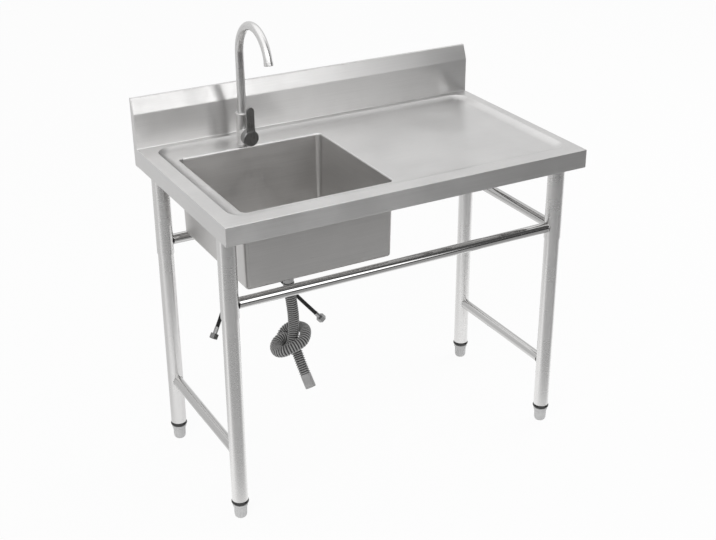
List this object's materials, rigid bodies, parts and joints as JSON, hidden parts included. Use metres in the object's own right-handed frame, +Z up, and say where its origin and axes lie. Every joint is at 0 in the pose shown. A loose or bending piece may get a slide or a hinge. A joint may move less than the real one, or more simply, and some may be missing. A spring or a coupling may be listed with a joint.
{
  "type": "kitchen sink unit",
  "caption": "Free-standing stainless sink unit on tube legs, with a left bowl, a recessed drainer, a backsplash, a gooseneck tap and its hoses.",
  "frame": {"origin": "on the floor, under the middle of the worktop's length and depth", "axes": "+Z up, +X to the right for someone who stands at the sink, front edge at -Y, backsplash at +Y"},
  "size_m": [1, 0.59, 1.169],
  "materials": {
    "sheet_steel": "brushed satin",
    "bowl_steel": "satin, darker inside",
    "tube_steel": "fine satin",
    "rail_steel": "polished",
    "fixing_steel": "plain",
    "drain_steel": "polished",
    "tap_metal": "brushed nickel",
    "lever_metal": "brushed nickel, darker",
    "valve_brass": "machined",
    "nut_chrome": "plated",
    "black_plastic": "moulded",
    "foot_plastic": "moulded",
    "white_plastic": "moulded",
    "hose_plastic": "corrugated, soft",
    "braid": "braided sleeve",
    "gasket_rubber": "flat"
  },
  "bodies": {
    "sink_unit": {"worktop": "sheet_steel", "end_cap_left": "sheet_steel", "end_cap_right": "sheet_steel", "channel_left": "sheet_steel", "channel_right": "sheet_steel", "channel_middle": "sheet_steel", "bowl": "bowl_steel", "front_rail": "rail_steel", "back_rail": "rail_steel", "side_rail": "rail_steel", "lower_rail_left": "rail_steel", "lower_rail_right": "rail_steel", "socket_screws": "fixing_steel", "leg_screws": "fixing_steel", "tap_washer": "fixing_steel", "tap_shank": "fixing_steel", "leg_socket_front_left": "white_plastic", "sleeve_front_left": "tube_steel", "leg_front_left": "tube_steel", "leg_insert_front_left": "black_plastic", "leg_socket_front_right": "white_plastic", "sleeve_front_right": "tube_steel", "leg_front_right": "tube_steel", "leg_insert_front_right": "black_plastic", "leg_socket_back_left": "white_plastic", "sleeve_back_left": "tube_steel", "leg_back_left": "tube_steel", "leg_insert_back_left": "black_plastic", "leg_socket_back_right": "white_plastic", "sleeve_back_right": "tube_steel", "leg_back_right": "tube_steel", "leg_insert_back_right": "black_plastic", "drain_flange": "drain_steel", "drain_gasket": "gasket_rubber", "drain_nut": "white_plastic", "hose_nut": "white_plastic", "hose_tail": "white_plastic", "drain_hose": "hose_plastic", "tap_body": "tap_metal", "tap_base_ring": "tap_metal", "cartridge_ring": "tap_metal", "tap_nut": "valve_brass", "cartridge": "valve_brass", "supply_hose_left": "braid", "supply_ferrule_left": "nut_chrome", "supply_nut_left": "nut_chrome", "supply_hose_right": "braid", "supply_ferrule_right": "nut_chrome", "supply_nut_right": "nut_chrome"},
    "swivel_spout": {"spout": "tap_metal", "aerator": "tap_metal"},
    "turning_spindle": {"cartridge_spindle": "valve_brass"},
    "tilting_lever": {"lever": "lever_metal", "lever_stem": "valve_brass"},
    "lift_out_basket": {"strainer_basket": "drain_steel"},
    "screw_foot_front_left": {"foot_front_left": "foot_plastic"},
    "screw_foot_front_right": {"foot_front_right": "foot_plastic"},
    "screw_foot_back_left": {"foot_back_left": "foot_plastic"},
    "screw_foot_back_right": {"foot_back_right": "foot_plastic"}
  },
  "joints": [
    {"name": "spout_swivel", "type": "hinge", "parent": "sink_unit", "child": "swivel_spout", "pos_m": [-0.231, 0.206, 0.9], "axis": [0, 0, 1], "continuous": true},
    {"name": "lever_turn", "type": "hinge", "parent": "sink_unit", "child": "turning_spindle", "pos_m": [-0.231, 0.175, 0.857], "axis": [0, -1, 0], "range_deg": [-50, 50]},
    {"name": "lever_tilt", "type": "hinge", "parent": "turning_spindle", "child": "tilting_lever", "pos_m": [-0.231, 0.175, 0.857], "axis": [1, 0, 0], "range_deg": [0, 25]},
    {"name": "basket_lift", "type": "slide", "parent": "sink_unit", "child": "lift_out_basket", "axis": [0, 0, 1], "range_m": [0, 0.24]},
    {"name": "foot_height_front_left", "type": "slide", "parent": "sink_unit", "child": "screw_foot_front_left", "axis": [0, 0, -1], "range_m": [0, 0.025]},
    {"name": "foot_height_front_right", "type": "slide", "parent": "sink_unit", "child": "screw_foot_front_right", "axis": [0, 0, -1], "range_m": [0, 0.025]},
    {"name": "foot_height_back_left", "type": "slide", "parent": "sink_unit", "child": "screw_foot_back_left", "axis": [0, 0, -1], "range_m": [0, 0.025]},
    {"name": "foot_height_back_right", "type": "slide", "parent": "sink_unit", "child": "screw_foot_back_right", "axis": [0, 0, -1], "range_m": [0, 0.025]}
  ]
}
